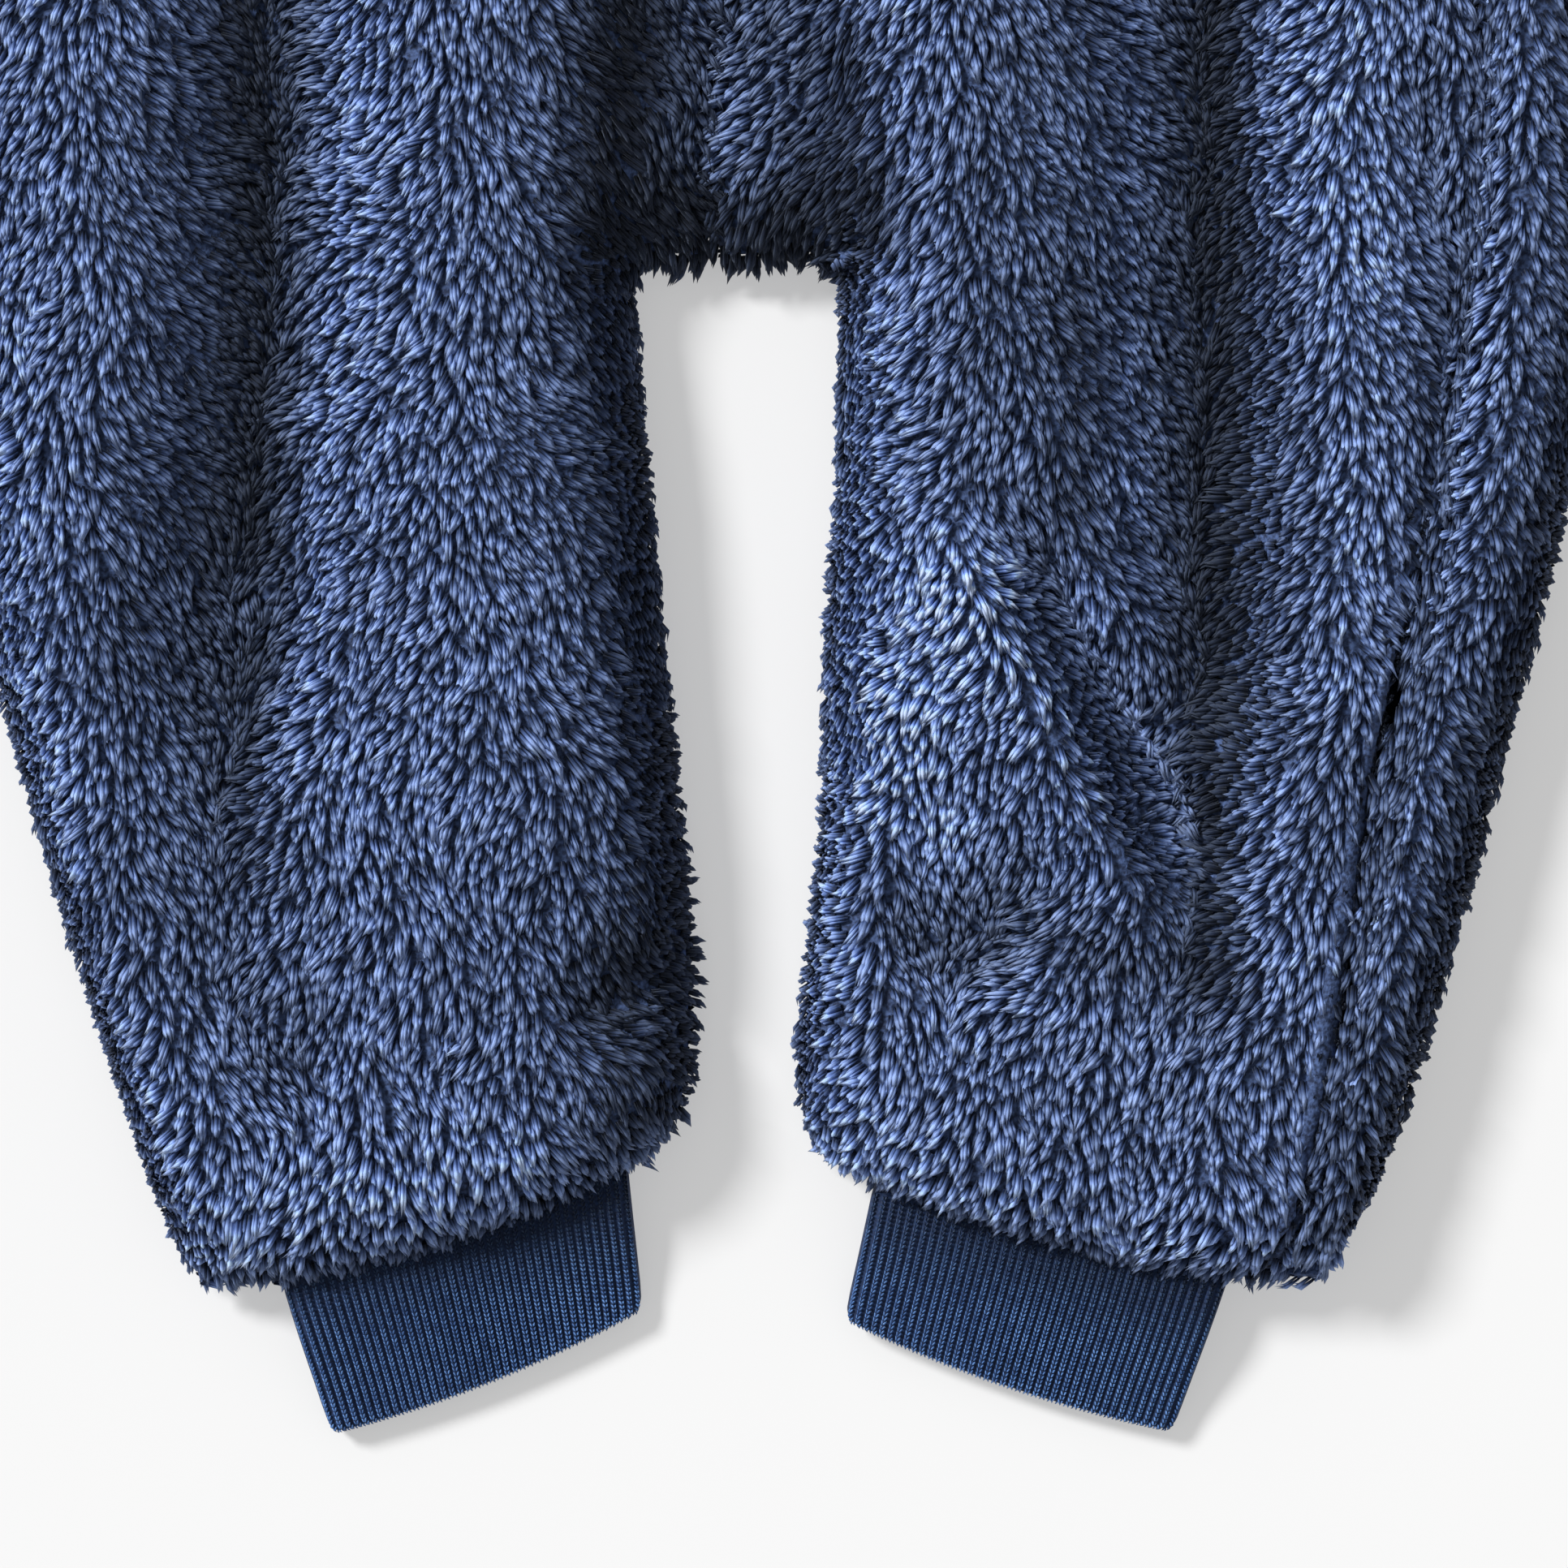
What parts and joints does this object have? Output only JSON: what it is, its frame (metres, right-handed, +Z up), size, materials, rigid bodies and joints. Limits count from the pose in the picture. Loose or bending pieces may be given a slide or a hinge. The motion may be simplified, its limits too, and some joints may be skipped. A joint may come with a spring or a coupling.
{
  "type": "onesie pajama",
  "caption": "Toddler's one-piece plush fleece pajama, laid flat, with long legs and sleeves, rib knit cuffs and neckband, and a centre front zip.",
  "frame": {"origin": "on the surface it lies on, under the middle of the garment's outline", "axes": "+X towards the wearer's left, +Y towards the neck, +Z up from the surface, out of the garment's front"},
  "size_m": [0.743, 0.7358, 0.0405],
  "materials": {
    "fleece": "long brushed pile, blue",
    "rib": "fine rib knit, darker blue",
    "zip_tape": "woven tape, dark blue",
    "zip_metal": "grey nickel"
  },
  "bodies": {
    "garment": {"ankle_cuff_left": "rib", "ankle_cuff_right": "rib", "back_left": "fleece", "back_right": "fleece", "front_left": "fleece", "front_leg_left": "fleece", "front_right": "fleece", "front_leg_right": "fleece", "neckband": "rib", "sleeve_left": "fleece", "sleeve_right": "fleece", "wrist_cuff_left": "rib", "wrist_cuff_right": "rib", "zip_slider": "zip_metal", "zip_tape_left": "zip_tape", "zip_tape_right": "zip_tape"},
    "pull": {"pull_tab": "zip_metal"}
  },
  "joints": [
    {"name": "pull_tab_hinge", "type": "hinge", "parent": "garment", "child": "pull", "pos_m": [0, 0.2942, 0.0269], "axis": [-1, 0, 0], "range_deg": [0, 150]}
  ]
}
